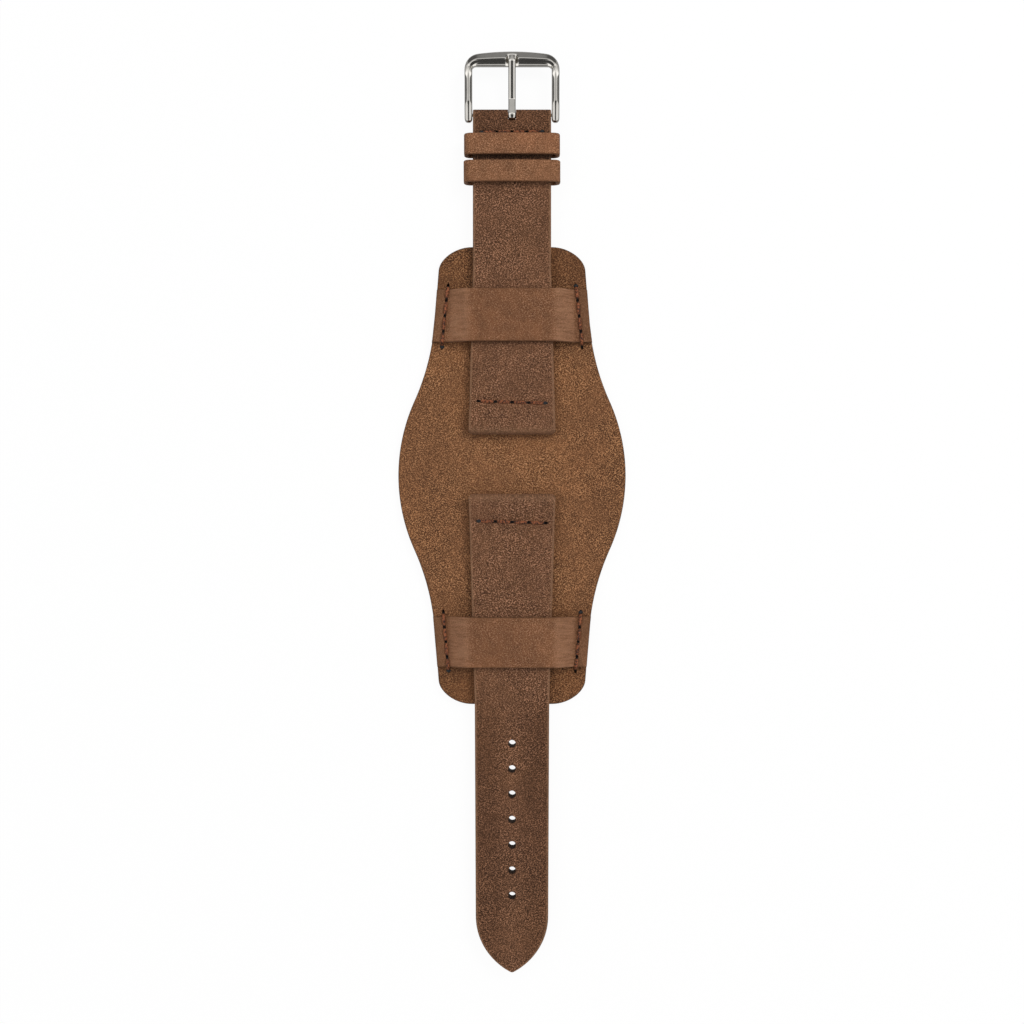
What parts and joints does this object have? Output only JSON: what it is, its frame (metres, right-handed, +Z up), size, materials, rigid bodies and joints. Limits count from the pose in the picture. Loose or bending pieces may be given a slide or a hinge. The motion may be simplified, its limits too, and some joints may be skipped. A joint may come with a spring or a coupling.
{
  "type": "bund watch strap",
  "caption": "Leather bund watch strap: a waisted wrist pad with two sewn bridges, a buckle strap and a holed tail strap that slide in them, two keepers and a pin buckle.",
  "frame": {"origin": "the middle of the pad's underside, on the surface that it lies on", "axes": "+X across the strap, +Y along the strap towards the buckle, +Z up, away from the wrist"},
  "size_m": [0.0578, 0.2325, 0.0073],
  "materials": {
    "pad_leather": "satin pebbled leather, oiled brown",
    "strap_leather": "satin pebbled leather, greyer brown",
    "strip_leather": "satin smooth leather, tan brown",
    "lining_leather": "matt split leather",
    "thread": "waxed polyester thread, rust brown",
    "polished_steel": "polished stainless steel",
    "spring_bar_steel": "drawn stainless steel"
  },
  "bodies": {
    "pad": {"pad_leather": "pad_leather", "pad_lining": "lining_leather", "upper_bridge": "strip_leather", "lower_bridge": "strip_leather", "upper_bridge_thread_left": "thread", "upper_bridge_thread_right": "thread", "lower_bridge_thread_left": "thread", "lower_bridge_thread_right": "thread"},
    "buckle_strap": {"buckle_strap_leather": "strap_leather", "buckle_strap_lining": "lining_leather", "buckle_strap_lug_thread": "thread", "buckle_end_thread": "thread", "fixed_keeper": "strip_leather", "buckle_bar_tube": "spring_bar_steel", "buckle_bar_spring": "spring_bar_steel"},
    "tail_strap": {"tail_strap_leather": "strap_leather", "tail_strap_lining": "lining_leather", "tail_strap_lug_thread": "thread"},
    "free_keeper": {"free_keeper": "strip_leather"},
    "buckle_frame": {"buckle_frame": "polished_steel"},
    "buckle_tongue": {"buckle_tongue": "polished_steel"},
    "bar_tip_left": {"bar_tip_left": "spring_bar_steel"},
    "bar_tip_right": {"bar_tip_right": "spring_bar_steel"}
  },
  "joints": [
    {"name": "buckle_strap_slide", "type": "slide", "parent": "pad", "child": "buckle_strap", "axis": [0, 1, 0], "range_m": [-0.005, 0.014]},
    {"name": "tail_strap_slide", "type": "slide", "parent": "pad", "child": "tail_strap", "axis": [0, -1, 0], "range_m": [-0.005, 0.018]},
    {"name": "free_keeper_slide", "type": "slide", "parent": "buckle_strap", "child": "free_keeper", "axis": [0, -1, 0], "range_m": [-0.0011, 0.014]},
    {"name": "buckle_hinge", "type": "hinge", "parent": "buckle_strap", "child": "buckle_frame", "pos_m": [0, 0.0911, 0.0039], "axis": [1, 0, 0], "range_deg": [-90, 30]},
    {"name": "tongue_hinge", "type": "hinge", "parent": "buckle_frame", "child": "buckle_tongue", "pos_m": [0, 0.0911, 0.0039], "axis": [1, 0, 0], "range_deg": [0, 85]},
    {"name": "bar_tip_left_press", "type": "slide", "parent": "buckle_strap", "child": "bar_tip_left", "axis": [1, 0, 0], "range_m": [0, 0.001], "stiffness_N_per_m": 500, "springref_m": -0.001, "deforming": ["buckle_bar_spring"]},
    {"name": "bar_tip_right_press", "type": "slide", "parent": "buckle_strap", "child": "bar_tip_right", "axis": [-1, 0, 0], "range_m": [0, 0.001], "stiffness_N_per_m": 500, "springref_m": -0.001, "deforming": ["buckle_bar_spring"]}
  ]
}
